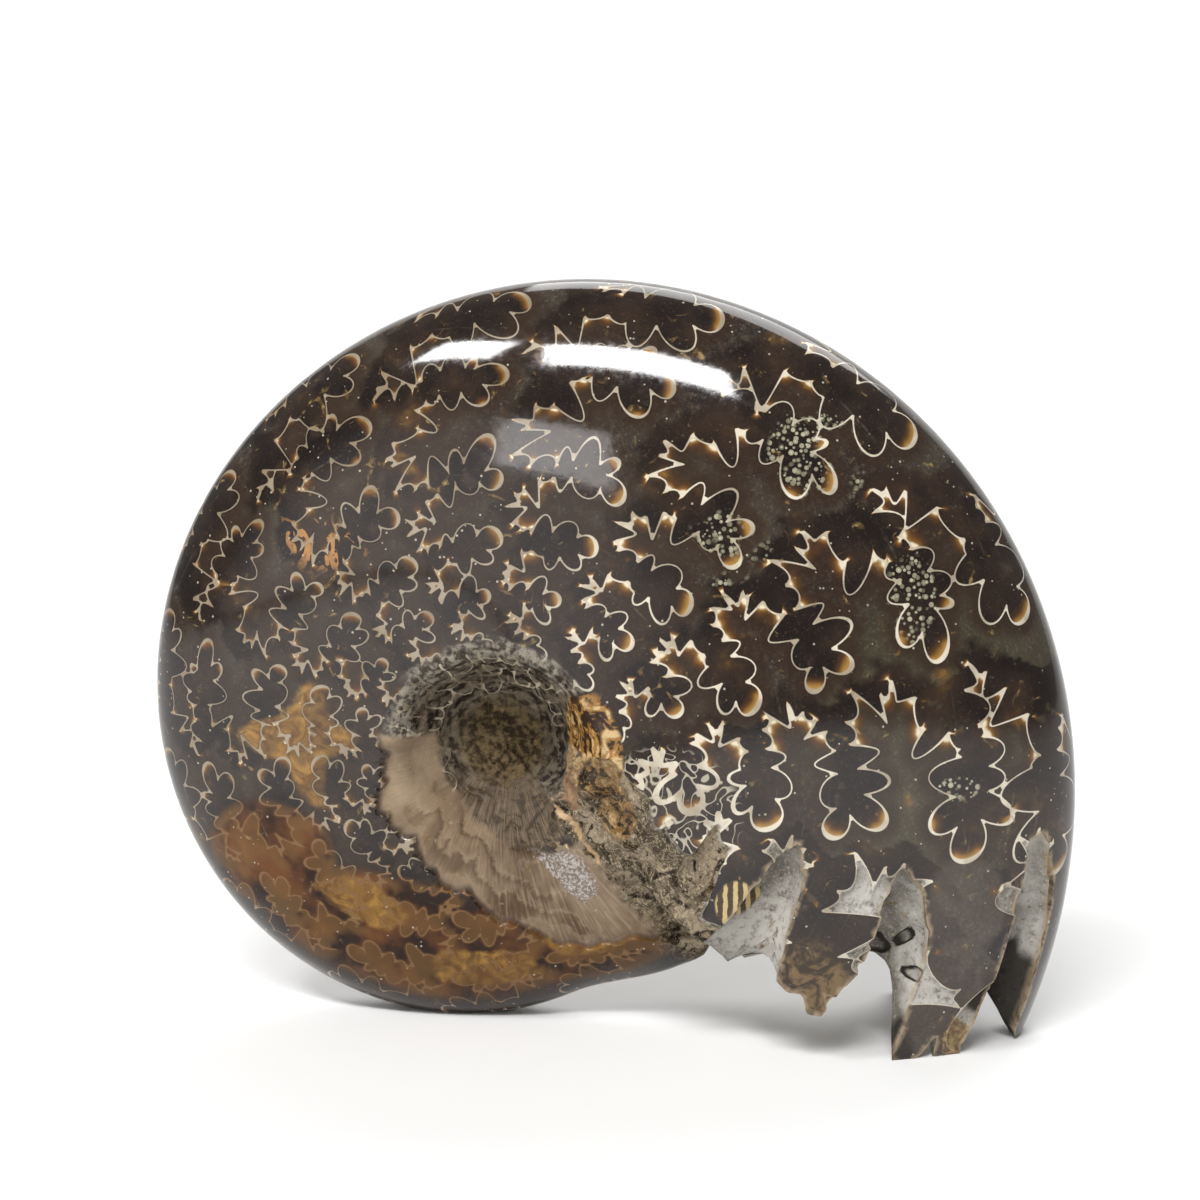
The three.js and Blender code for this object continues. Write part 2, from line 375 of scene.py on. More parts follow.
SHORT = [
    (0, 0, 1.5), (0.4, 0.03, 0.4), (0.7, 0.08, 0.7), (0.62, 0.35, 1.5), (0.72, 0.58, 2.1),
    (1.2, 0.62, 2.1), (1.35, 0.43, 0.7), (1.3, 0.3, 1.4), (1.7, 0.08, 0.8), (2, 0, None),
]
SMALL = [(0, 0, 1.2), (0.5, 0.1, 1.0), (0.75, 0.35, 1.2), (0.8, 0.6, 1.6), (1.4, 0.45, 1.3), (2, 0, None)]

SUTURE_START = -11
SUTURE_SPACING = 24.4
SUTURE_COUNT = 13
LOBE_FRACTIONS = (0.88, 0.724, 0.545, 0.405, 0.30, 0.21)
LOBE_LENGTHS = (15, 22.2, 24, 23, 23, 19, 13)
SADDLE_ADVANCE = 2
SADDLES = (MIDDLE, BROAD, LONG, MIDDLE, SHORT, SMALL)

# The last suture is the broken edge itself
LAST_LOBES = {
    -1: [(0.94, -7), (0.72, -12.5), (0.53, -11.5), (0.405, -9.5), (0.33, -14)],
    1: [(0.92, -11), (0.71, -13), (0.55, -13), (0.43, -13), (0.36, -15)],
}
LAST_SADDLES = {-1: [-38, -54, -46, -40, -27], 1: [-38, -43, -30, -26, -25]}
LAST_TEMPLATES = (SHORT, BROAD, LONG, MIDDLE, SMALL)
LAST_WIDENING = 0.28
SUTURE_SEEDS = {-1: 11, 1: 29}

# Scalloped lines round the umbilicus: radius and length of a scallop
UMBILICAL_RINGS = ((10.2, 2.0), (8.6, 1.7), (7.0, 1.5))
UMBILICAL_START = 20
UMBILICAL_END = 232

# Columns of the suture samples: angle, arc from the keel, half width, tip, rim, suture number
ANGLE, ARC, WIDTH, TIP, RIM, NUMBER = range(6)

CUSP_OPENING = math.radians(16)
LOOSENESS = 0.06
THIN_LINE = 0.045
TIP_LINE = 0.08
RIM_LINE = 0.2
TIP_LENGTH = 1.0
SAMPLE_STEP = 0.1
ARC_FULLNESS = 0.9
ARC_EXTRA_LENGTH = 1.2
TIP_ALONG = 0.36


def turned(vector, angle):
    c, s = math.cos(angle), math.sin(angle)
    return np.array([c * vector[0] - s * vector[1], s * vector[0] + c * vector[1]])


def unit(vector):
    return vector / max(float(np.hypot(*vector)), 1e-9)


def arc_points(a, b, out_a, out_b, reach, count):
    """Points of the rounded arc from cusp a to cusp b, which leaves them along out_a and out_b."""
    t = np.linspace(0, 1, count, endpoint=False)[:, None]
    length = float(np.hypot(*(b - a))) * reach * ARC_FULLNESS
    first = a + turned(out_a, -CUSP_OPENING) * length
    second = b + turned(out_b, CUSP_OPENING) * length
    return (1 - t) ** 3 * a + 3 * t * (1 - t) ** 2 * first + 3 * t * t * (1 - t) * second + t**3 * b


def suture_curve(lobes, saddle_angles, templates, rng):
    """Samples along one suture on one flank, without the last column.

    lobes are (arc from the keel, angle in degrees), in order from the keel to the axis.
    """
    base = lobes[0][1]
    points, alongs, reaches = [], [], []
    for i in range(len(lobes) - 1):
        (arc0, angle0), (arc1, angle1) = lobes[i], lobes[i + 1]
        last = i == len(lobes) - 2
        for across, along, reach in templates[i] if last else templates[i][:-1]:
            if along:
                across += rng.uniform(-LOOSENESS, LOOSENESS)
                along += rng.uniform(-LOOSENESS, LOOSENESS) / 2
            share = across / 2
            arc = lerp(arc0, arc1, share)
            angle = lerp(lerp(angle0, angle1, share), saddle_angles[i], along)
            forward = math.radians(base - angle) * float(fraction_at(arc))
            points.append(np.array([arc, forward]))
            alongs.append(along)
            reaches.append(reach)
    outs = []
    for i in range(len(points)):
        step = points[min(i + 1, len(points) - 1)] - points[max(i - 1, 0)]
        outs.append(unit(np.array([-step[1], step[0]])))
    whorl = float(spiral_radius(math.radians(base)))
    scale = min(1.0, whorl / END_RADIUS)
    rows = []
    for i in range(len(points) - 1):
        reach = reaches[i]
        chord = float(np.hypot(*(points[i + 1] - points[i]))) * whorl
        total = chord * (1 + ARC_EXTRA_LENGTH * reach)
        count = max(5, int(total / SAMPLE_STEP))
        curve = arc_points(points[i], points[i + 1], outs[i], outs[i + 1], reach, count)
        t = np.linspace(0, 1, count, endpoint=False)
        sharp = [1.0 if along < TIP_ALONG else 0.3 for along in alongs[i:i + 2]]
        first_tip = sharp[0] * np.exp(-t * total / TIP_LENGTH)
        tip = np.maximum(first_tip, sharp[1] * np.exp(-(1 - t) * total / TIP_LENGTH))
        rim = float(smooth((alongs[i] + alongs[i + 1]) / 2, 0.42, 0.66) * smooth(reach, 1.0, 1.8))
        rim = rim * np.sin(math.pi * t) ** (1.5 + reach)
        angle = math.radians(base) - curve[:, 1] / np.maximum(fraction_at(curve[:, 0]), 0.05)
        width = scale * (THIN_LINE + TIP_LINE * tip + RIM_LINE * rim)
        rows.append(np.column_stack([angle, curve[:, 0], width, tip, rim]))
    samples = np.vstack(rows)
    return samples[samples[:, ARC] >= 0]


def widened(template):
    """The same saddle with its side notches moved out towards the two lobes."""
    cusps = []
    for across, along, reach in template:
        if along > 0.2 and across < 1:
            across = max(across - LAST_WIDENING, 0.04)
        elif along > 0.2:
            across = min(across + LAST_WIDENING, 1.96)
        cusps.append((across, along, reach))
    return cusps


def all_sutures(side):
    """Samples of every suture on one flank."""
    rng = random.Random(SUTURE_SEEDS[side])
    lobes = [(-float(arc_at(LAST_LOBES[side][0][0])), LAST_LOBES[side][0][1])]
    lobes += [(float(arc_at(fraction)), angle) for fraction, angle in LAST_LOBES[side]]
    templates = [widened(template) for template in LAST_TEMPLATES]
    last = suture_curve(lobes, LAST_SADDLES[side], templates, rng)
    found = [np.column_stack([last, np.zeros(len(last))])]
    arcs = [0.0] + [float(arc_at(fraction)) for fraction in LOBE_FRACTIONS]
    for k in range(SUTURE_COUNT):
        start = SUTURE_START + SUTURE_SPACING * k
        lobes = []
        for arc, length in zip(arcs, LOBE_LENGTHS):
            loose = rng.uniform(-1, 1) if arc else 0
            lobes.append((arc, start + length + loose))
        ends = [start - SADDLE_ADVANCE + rng.uniform(-1, 1) for _ in SADDLES]
        curve = suture_curve(lobes, ends, SADDLES, rng)
        found.append(np.column_stack([curve, np.full(len(curve), k + 1)]))
    return np.vstack(found)


def umbilical_curves(rng):
    """Small scalloped lines on the wall of the umbilicus, as angle, radius and half width."""
    rows = []
    outward = np.array([0.0, -1.0])
    for middle, scallop in UMBILICAL_RINGS:
        cusps = []
        angle = math.radians(UMBILICAL_START)
        while angle < math.radians(UMBILICAL_END):
            cusps.append(np.array([angle * middle, rng.uniform(-0.6, 0.6)]))
            angle += scallop / middle * rng.uniform(0.4, 1.6)
        for a, b in zip(cusps[:-1], cusps[1:]):
            reach = rng.uniform(0.4, 1.5)
            count = max(6, int(scallop * (1 + reach) / SAMPLE_STEP))
            curve = arc_points(a, b, outward, outward, reach, count)
            ends = np.abs(np.linspace(-1, 1, count)) ** 6
            width = rng.uniform(0.02, 0.05) + 0.08 * ends
            rows.append(np.column_stack([curve[:, 0] / middle, middle + curve[:, 1], width]))
    return np.vstack(rows)


def ring_candidates(rings, side):
    """Map points on the umbilical lines of one flank."""
    span = side * (1 - radius_row(rings[:, 1], rings[:, 0]))
    return np.column_stack([rings[:, 0], map_height(span, rings[:, 0])])


def sample_points(samples, side):
    """Points on the surface under suture samples, and their spans."""
    angle = samples[:, ANGLE]
    radius = fraction_at(samples[:, ARC]) * spiral_radius(angle)
    span = side * (1 - radius_row(radius, angle))
    return coil_point(span, angle), span


def edge_rows(side):
    """Rows whose points on the broken edge are evenly spaced."""
    rows = np.linspace(FIRST_ROW, 1, 20001)
    angle = broken_angle(rows, side)
    points = coil_point(side * (1 - rows), angle)
    length = np.concatenate([[0], np.cumsum(np.linalg.norm(np.diff(points, axis=0), axis=1))])
    count = int(length[-1] / EDGE_STEP[side])
    return np.interp(np.linspace(0, length[-1], count), length, rows)


def search_tree(points):
    tree = kdtree.KDTree(max(1, len(points)))
    for i, point in enumerate(points):
        tree.insert(point, i)
    tree.balance()
    return tree


def spaced(points, gap):
    """Indices of the points that lie at least gap from the ones kept so far, which they join."""
    tree = search_tree(points)
    state = np.zeros(len(points), np.int8)
    for i, point in enumerate(points):
        if state[i]:
            continue
        state[i] = 1
        for _, other, _ in tree.find_range(point, gap):
            if other != i and not state[other]:
                state[other] = 2
    return np.nonzero(state == 1)[0]


def inside_coil(plane, margin):
    """True for map points at least margin millimetres round from both ends of the coil."""
    angle, height = plane[:, 0], plane[:, 1]
    span = map_span(height, angle)
    row = 1 - np.abs(span)
    side = np.where(span < 0, -1, 1)
    radius = np.maximum(row_radius(row, angle), 2)
    low = broken_angle(row, side) + margin / radius
    high = wall_angle(row, side, 1.0) + FULL_TURN - margin / radius
    return (row > FIRST_ROW * 1.6) & (angle > low) & (angle < high)


def line_candidates(samples, side, offset):
    """Map points beside the suture samples, offset millimetres towards the aperture."""
    angle = samples[:, ANGLE]
    points, span = sample_points(samples, side)
    height = map_height(span, angle)
    same = np.diff(samples[:, NUMBER], append=-1) == 0
    step = np.column_stack([np.roll(angle, -1) - angle, np.roll(height, -1) - height])
    step[~same] = 0
    length = np.maximum(np.hypot(step[:, 0], step[:, 1]), 1e-9)
    front = -side * np.column_stack([step[:, 1], -step[:, 0]]) / length[:, None]
    radius = np.linalg.norm(points[:, [0, 2]] - [AXIS_X, AXIS_HEIGHT], axis=1)
    return np.column_stack([angle, height]) + front * (offset / radius)[:, None]


def grid_candidates(side, step, rng):
    """Jittered rows of map points, about step millimetres apart, on one flank."""
    found = []
    last_height = map_height(side * (1 - FIRST_ROW), POLE_ANGLE)
    angles = np.radians(np.arange(*GRID_ANGLES))
    height = 0.0
    while abs(height) < abs(last_height):
        span = map_span(height, angles)
        radius = row_radius(1 - np.abs(span), angles)
        travel = np.concatenate([[0], np.cumsum((radius[1:] + radius[:-1]) / 2 * np.diff(angles))])
        places = np.arange(rng.random() * step, travel[-1], step)
        angle = np.interp(places, travel, angles)
        jitter = rng.uniform(-0.12, 0.12, (len(angle), 2))
        scale = np.maximum(np.interp(places, travel, radius), 1.5)
        near_height = height + side * jitter[:, 0] * step / scale
        found.append(np.column_stack([angle + jitter[:, 1] * step / scale, near_height]))
        height += side * 0.87 * step / max(float(np.median(radius)), 1.5)
    return np.vstack(found)


def wanted_detail(plane):
    """True where the surface is rough and needs the small spacing."""
    angle, height = plane[:, 0], plane[:, 1]
    span = map_span(height, angle)
    radius = row_radius(1 - np.abs(span), angle)
    fraction = radius / spiral_radius(angle)
    turn = np.degrees(angle)
    middle = radius < umbilicus_radius(angle) + 1.5
    shell = (turn > SHELL_START - 1) & (shell_depth(radius, angle) > -0.6)
    edge = (turn < 12) & (fraction > 0.2)
    return middle | shell | edge


def on_surface(plane):
    return coil_point(map_span(plane[:, 1], plane[:, 0]), plane[:, 0])


def build_points(chain, left, right, samples, rings):
    """Map points of the whole coil: the ends first, then the sutures, then the rest."""
    rng = np.random.default_rng(5)
    ends = []
    for side in (-1, 1):
        span = side * (1 - FIRST_ROW)
        first = left[0] if side < 0 else left[-1]
        last = right[0] if side < 0 else right[-1]
        angle = np.linspace(first, last, 26)[1:-1]
        ends.append(np.column_stack([angle, map_height(span, angle), np.full(len(angle), span)]))
    left_plane = np.column_stack([left, map_height(chain, left), chain])
    right_plane = np.column_stack([right, map_height(chain, right), chain])
    border = np.vstack([ends[0], right_plane, ends[1][::-1], left_plane[::-1]])
    kept = border[:, :2]
    places = coil_point(border[:, 2], border[:, 0])
    stages = []
    for side in (-1, 1):
        step = LINE_STEP[side]
        stages.append((line_candidates(samples[side], side, 0.0), step * 0.75, step * 0.6))
        for offset in (LINE_SIDE_STEP, -LINE_SIDE_STEP):
            stages.append((line_candidates(samples[side], side, offset), step * 1.2, 0.22))
        stages.append((ring_candidates(rings, side), step * 0.75, step * 0.6))
    for side in (-1, 1):
        grid = grid_candidates(side, DETAIL_STEP[side], rng)
        stages.append((grid[wanted_detail(grid)], 0, DETAIL_STEP[side] * 0.72))
        stages.append((grid_candidates(side, OPEN_STEP[side], rng), 0, OPEN_STEP[side] * 0.66))
    for plane, own_gap, gap in stages:
        plane = plane[inside_coil(plane, gap * 0.8)]
        points = on_surface(plane)
        if own_gap:
            chosen = spaced(points, own_gap)
            plane, points = plane[chosen], points[chosen]
        tree = search_tree(places)
        clear = np.array([tree.find(point)[2] > gap for point in points], bool)
        kept = np.vstack([kept, plane[clear]])
        places = np.vstack([places, points[clear]])
    return border, kept


def within(places, outline):
    """True for the places inside a closed outline."""
    x, y = places[:, :1], places[:, 1:]
    (ax, ay), (bx, by) = outline.T, np.roll(outline, -1, axis=0).T
    crossing = (ay > y) != (by > y)
    reach = ax + (y - ay) * (bx - ax) / np.where(by == ay, 1e-12, by - ay)
    return (crossing & (x < reach)).sum(1) % 2 == 1


def coil_triangles(plane, border_count):
    """Triangles between the map points, without those that bridge the gaps of the broken edge."""
    polygon = list(range(border_count))
    verts = [Vector(point) for point in plane.tolist()]
    result = delaunay_2d_cdt(verts, [], [polygon], 1, 1e-7, True)
    origin = [items[0] for items in result[3]]
    faces = np.array([[origin[i] for i in face] for face in result[2]])
    bordering = np.nonzero((faces < border_count).all(1))[0]
    inside = within(plane[faces[bordering]].mean(axis=1), plane[:border_count])
    return np.delete(faces, bordering[~inside], axis=0)


near_rows = edge_rows(-1)
far_rows = edge_rows(1)[:-1][::-1]
chain_row = np.concatenate([near_rows, far_rows])
chain_side = np.concatenate([-np.ones(len(near_rows)), np.ones(len(far_rows))])
chain = chain_side * (1 - chain_row)
left = broken_angle(chain_row, chain_side)
right = wall_angle(chain_row, chain_side, 1.0) + FULL_TURN
samples = {side: all_sutures(side) for side in (-1, 1)}
rings = umbilical_curves(random.Random(3))
border, plane = build_points(chain, left, right, samples, rings)
coil_faces = coil_triangles(plane, len(border))

angle = plane[:, 0]
span = map_span(plane[:, 1], plane[:, 0])
span[:len(border)] = border[:, 2]
coil_count = len(plane)

# Chamber wall between the two ends of the coil
chain_count = len(chain)
end_count = (len(border) - 2 * chain_count) // 2
right_first = end_count
left_first = len(border) - 1
columns = [left_first - np.arange(chain_count)]
wall_points, wall_turns = [], []
for column in range(1, WALL_COLUMNS):
    depth = column / WALL_COLUMNS
    columns.append(coil_count + (column - 1) * chain_count + np.arange(chain_count))
    wall_points.append(wall_point(chain_row, chain_side, depth))
    wall_turns.append(wall_angle(chain_row, chain_side, depth))
columns.append(right_first + np.arange(chain_count))
wall_faces = []
for a, b in zip(columns[:-1], columns[1:]):
    wall_faces.append(np.column_stack([a[:-1], a[1:], b[1:]]))
    wall_faces.append(np.column_stack([a[:-1], b[1:], b[:-1]]))
wall_faces = np.vstack(wall_faces)
wall_points = np.vstack(wall_points)

# The two ends of the axis
pole_first = coil_count + len(wall_points)
middle_height = float(flank_height(0.0, POLE_ANGLE))
poles = np.array([place(0.0, side * middle_height, POLE_ANGLE) for side in (-1, 1)])
near_end = np.arange(end_count)
far_end = end_count + chain_count + np.arange(end_count)[::-1]
pole_faces = []
for pole, ring_part, chain_end in ((0, near_end, 0), (1, far_end, -1)):
    wall_part = [column[chain_end] for column in columns[::-1]]
    ring = np.concatenate([[columns[0][chain_end]], ring_part, wall_part])
    tops = np.full(len(ring) - 1, pole_first + pole)
    pole_faces.append(np.column_stack([tops, ring[:-1], ring[1:]]))
pole_faces = np.vstack(pole_faces)
points = np.vstack([coil_point(span, angle), wall_points, poles])

faces = np.vstack([coil_faces, wall_faces, pole_faces])
turn = np.concatenate([angle, np.concatenate(wall_turns), [POLE_ANGLE, POLE_ANGLE]])
on_coil = np.arange(len(points)) < coil_count
on_wall = np.zeros(len(points), bool)
on_wall[coil_count:pole_first] = True

mesh = bpy.data.meshes.new("polished_ammonite")
mesh.from_pydata(points.tolist(), [], faces.tolist())
work = bmesh.new()
work.from_mesh(mesh)
bmesh.ops.recalc_face_normals(work, faces=work.faces)
work.to_mesh(mesh)
work.free()

corners = np.zeros(len(mesh.loops), np.int32)
mesh.loops.foreach_get("vertex_index", corners)
corners = corners.reshape(-1, 3)
face_on_wall = on_wall[corners].any(1)


def averaged_normals(where):
    """Vertex normals from the faces marked in where."""
    chosen = corners[where]
    a, b, c = points[chosen[:, 0]], points[chosen[:, 1]], points[chosen[:, 2]]
    normal = np.cross(b - a, c - a)
    total = np.zeros_like(points)
    for i in range(3):
        np.add.at(total, chosen[:, i], normal)
    return total / np.maximum(np.linalg.norm(total, axis=1), 1e-12)[:, None]


outward = averaged_normals(np.ones(len(corners), bool))


def suture_fronts(rows, plane, side):
    """Directions on the map that point from the suture samples towards the aperture."""
    same = (rows[1:, NUMBER] == rows[:-1, NUMBER])[:, None]
    before = np.vstack([plane[:1], np.where(same, plane[:-1], plane[1:])])
    after = np.vstack([np.where(same, plane[1:], plane[:-1]), plane[-1:]])
    step = after - before
    return -side * np.column_stack([step[:, 1], -step[:, 0]])


# All suture samples, with their places on the map and on the surface
suture_rows = np.vstack([samples[side] for side in (-1, 1)])
suture_planes = {side: line_candidates(samples[side], side, 0.0) for side in (-1, 1)}
suture_front = np.vstack([suture_fronts(samples[s], suture_planes[s], s) for s in (-1, 1)])
suture_plane = np.vstack([suture_planes[side] for side in (-1, 1)])
suture_place = on_surface(suture_plane)
suture_number = suture_rows[:, NUMBER]
coil_points = points[:coil_count]


def nearest_of(places):
    """Distance and index of the nearest of the places for each point of the coil."""
    tree = search_tree(places)
    found = [tree.find(point) for point in coil_points]
    return np.array([item[2] for item in found]), np.array([item[1] for item in found])


def nearest(wanted):
    """Distance and index of the nearest wanted suture sample for each point of the coil."""
    chosen = np.nonzero(wanted)[0]
    distances, indices = nearest_of(suture_place[chosen])
    return distances, chosen[indices]


# Distance to the nearest suture, and to the nearest lobe tip and saddle end of that suture
distance, index = nearest(suture_number >= 0)
offset = plane - suture_plane[index]
in_front = (offset * suture_front[index]).sum(1) > 0
size_here = np.clip(spiral_radius(angle) / END_RADIUS, 0, 1.1)
on_line = distance < 0.08
tip_distance, tip_index = nearest(suture_rows[:, TIP] > 0.75)
end_distance, end_index = nearest(suture_rows[:, RIM] > 0.55)
tip_distance[suture_number[tip_index] != suture_number[index]] = FAR_AWAY
end_distance[suture_number[end_index] != suture_number[index]] = FAR_AWAY

# Distance to the nearest scalloped line of the umbilicus, and half the width of that line
ring_heights = flank_height(rings[:, 1], rings[:, 0])
ring_places = [place(rings[:, 1], side * ring_heights, rings[:, 0]) for side in (-1, 1)]
ring_distance, ring_index = nearest_of(np.vstack(ring_places))
ring_half = np.tile(rings[:, 2], 2)[ring_index]


def past_last_suture(side):
    """True for map points between the last suture and the broken edge of one flank."""
    last = samples[side][samples[side][:, NUMBER] == 0][::2]
    curve = line_candidates(last, side, 0.0)
    beyond_edge = math.radians(-60)
    end = np.array([[beyond_edge, curve[-1, 1]], [beyond_edge, 0], [curve[0, 0], 0]])
    outline = np.vstack([curve, end])
    found = np.zeros(len(plane), bool)
    chosen = np.nonzero((np.degrees(angle) < 25) & (np.sign(plane[:, 1]) * side >= 0))[0]
    for part in np.array_split(chosen, 12):
        found[part] = within(plane[part], outline)
    return found


# Distance past the last suture, towards the broken edge
last_distance, _ = nearest(suture_number == 0)
past_last = past_last_suture(-1) | past_last_suture(1)
beyond = np.where(past_last, last_distance, -last_distance)
beyond[np.degrees(angle) >= 30] = -GAP_LIMIT

radius = np.hypot(points[:, 0] - AXIS_X, points[:, 2] - AXIS_HEIGHT)
degrees = np.degrees(turn)
rim = umbilicus_radius(turn)
fraction = radius / spiral_radius(turn)


def full(values, elsewhere):
    """Values of the coil's points, and one value for all the others."""
    return np.concatenate([values, np.full(len(points) - len(values), float(elsewhere))])


def patch(x, z, width, height, turned_by):
    """1 in the middle of an oval patch of both flanks, falling to 0 at its border."""
    dx, dz = points[:, 0] - x, points[:, 2] - z
    c, s = math.cos(math.radians(turned_by)), math.sin(math.radians(turned_by))
    reach = np.hypot((c * dx + s * dz) / width, (c * dz - s * dx) / height)
    return 1 - smooth(reach, 0.45, 1.0)


def rough(scale, octaves, seed, where):
    """Fractal noise from about -1 to 1 at the points marked in where."""
    values = np.zeros(len(points))
    shift = Vector((seed, seed * 2, -seed))
    for i in np.nonzero(where)[0]:
        values[i] = noise.fractal(Vector(points[i]) / scale + shift, 0.9, 2.0, octaves)
    return values


# Parts of the fossil, as shares from 0 to 1 at every point
beyond_all = full(beyond, GAP_LIMIT)
beyond_all[pole_first:] = -GAP_LIMIT
depth_in_shell = shell_depth(radius, turn)
on_shell = on_coil & (degrees > SHELL_START - 2)
shell = np.where(on_shell, smooth(depth_in_shell, -0.12, 0.12), 0)
shell *= smooth(degrees, SHELL_START - 2, SHELL_START + 1)
shell *= smooth(radius - rounded_line(SHELL_INNER_EDGE, degrees), -0.3, 0.3)
plug = 1 - smooth(radius, PLUG_RADIUS - 1.0, PLUG_RADIUS + 1.0)
umbilicus = 1 - smooth(radius, rim - 0.5, rim + 0.5)
frost = smooth(radius, rim - 3.0, rim - 0.8) * (1 - smooth(radius, rim, rim + 1.3))
past_shell = smooth(degrees, SHELL_START, SHELL_START + 18)
frost *= smooth(degrees, 20, 60) * (1 - past_shell) + 0.15 * past_shell
crust = np.where(on_wall & (radius < CRUST_RADIUS), smooth(radius, 6.2, 8.2), 0.0)
under_crust = on_coil & (degrees > CRUST_START) & (radius > 8)
crust = np.maximum(crust, np.where(under_crust, smooth(degrees, CRUST_START, CRUST_START + 5), 0))
on_start = on_coil & (degrees < 0) & (radius < START_CRUST_RADIUS)
crust = np.maximum(crust, on_start & (beyond_all > 0))
septum = (beyond_all > 0) * (1 - crust)
wall_depth = np.zeros(len(points))
wall_depth[coil_count:pole_first] = np.repeat(np.arange(1, WALL_COLUMNS) / WALL_COLUMNS, chain_count)

# Thin rim along the broken edge
row = 1 - np.abs(span)
edge_gap = (angle - broken_angle(row, np.where(span < 0, -1, 1))) * radius[:coil_count]
brink = full(1 - smooth(edge_gap, 0.12, 0.5), 0) * (radius > CRUST_RADIUS)

# Flakes of the bare shell: a saw whose teeth are the ledges
broad_noise = rough(6.0, 3, 5.0, shell > 0)
flake_place = (depth_in_shell + 2.6 * broad_noise) / FLAKE_SPACING
flakes = np.floor(flake_place) + smooth(flake_place % 1, 0.8, 1)
flaked = shell * smooth(degrees, 205, 225) * (1 - smooth(degrees, 285, 300))

# Masks that the material reads, first the coloured places
masks = {name: np.max([patch(*oval) for oval in ovals], axis=0) for name, ovals in PLACES.items()}
near_flank = points[:, 1] < 0
kept_on = {"flecks": near_flank, "stripes": near_flank, "mineral": 1 - plug, "calcite": 1 - umbilicus,
           "sugar": shell, "pits": np.maximum(septum, on_wall)}
for name, part in kept_on.items():
    masks[name] *= part
tip_reach = 1.5 * size_here**1.3
end_reach = 1.3 * size_here
masks.update(
    gap=np.minimum(full(distance, GAP_LIMIT), GAP_LIMIT),
    line=full(suture_rows[index, WIDTH], THIN_LINE),
    ring_gap=np.minimum(full(ring_distance, GAP_LIMIT), GAP_LIMIT),
    ring_line=full(ring_half, THIN_LINE),
    tip_glow=full(np.where(in_front | on_line, np.exp(-tip_distance / tip_reach), 0), 0),
    end_glow=full(np.where(in_front & ~on_line, 0, np.exp(-end_distance / end_reach)), 0),
    leaf=full(~in_front, 0),
    beyond=np.clip(beyond_all, -GAP_LIMIT, GAP_LIMIT),
    shell_depth=np.clip(depth_in_shell, -3, 12),
    # Painted shade and highlight on the bare shell's flakes: a saw that rises from each ledge to the next
    ledge=flaked * (flake_place % 1) * (flake_place > 0.5),
    foot=crust * smooth(wall_depth, 0.88, 0.98),
    frost=frost * on_coil,
    shell=shell,
    plug=plug,
    umbilicus=umbilicus,
    crust=crust,
    brink=brink,
    fraction=fraction,
    turn=turn,
    radius=radius,
)

# Relief
rough_zone = (crust > 0) | (septum > 0) | (shell > 0) | (umbilicus > 0)
coarse_noise = rough(3.2, 4, 3.0, rough_zone)
fine_noise = rough(0.9, 4, 9.0, rough_zone)
relief = -CHAMBER_WALL_SINK * smooth(beyond_all, 0, 0.3) * (1 - crust)
relief += crust * (0.75 * coarse_noise + 0.35 * fine_noise - 0.25 * np.abs(coarse_noise))
relief += septum * (0.10 * fine_noise + 0.12 * coarse_noise) - PIT_DEPTH * masks["pits"]
relief -= FLAKE_DEPTH * flaked * np.clip(flakes - 0.5, 0, 3) - 0.05 * shell * fine_noise
relief += umbilicus * (1 - shell) * (0.22 * fine_noise + 0.25 * coarse_noise) * (1 - 0.5 * plug)
relief += plug * 0.18 * fine_noise

points = points + outward * relief[:, None]
points[:, 2] = np.maximum(points[:, 2], 0)
flat = points[:, 2] < FLAT_SPOT_HEIGHT
mesh.vertices.foreach_set("co", (points * MM).ravel())
mesh.update()


def exact_normals():
    """Normals of the smooth formula, for the polish."""
    step = 1e-4
    low, high = np.maximum(span - step, -1), np.minimum(span + step, 1)
    across = coil_point(high, angle) - coil_point(low, angle)
    along = coil_point(span, angle + step) - coil_point(span, angle - step)
    normal = np.cross(across, along)
    normal /= np.maximum(np.linalg.norm(normal, axis=1), 1e-12)[:, None]
    facing = (normal * outward[:coil_count]).sum(1) < 0
    normal[facing] *= -1
    return normal


# Shading normals: exact ones on the polish, averaged ones on rough and broken faces
coil_normals = averaged_normals(~face_on_wall)
polished = (np.abs(relief) < 1e-4) & ~flat & on_coil & (radius > rim + 0.5)
exact = exact_normals()
agree = (exact * coil_normals[:coil_count]).sum(1) > 0.8
use = polished[:coil_count] & agree
coil_normals[:coil_count][use] = exact[use]
wall_normals = averaged_normals(face_on_wall)
loop_normals = np.where(face_on_wall[:, None, None], wall_normals[corners], coil_normals[corners])
mesh.polygons.foreach_set("use_smooth", np.ones(len(corners), bool))
mesh.normals_split_custom_set(loop_normals.reshape(-1, 3).tolist())
for name, values in masks.items():
    layer = mesh.attributes.new(name, "FLOAT", "POINT")
    layer.data.foreach_set("value", np.asarray(values, np.float32))

ammonite = bpy.data.objects.new("polished_ammonite", mesh)
scene.collection.objects.link(ammonite)


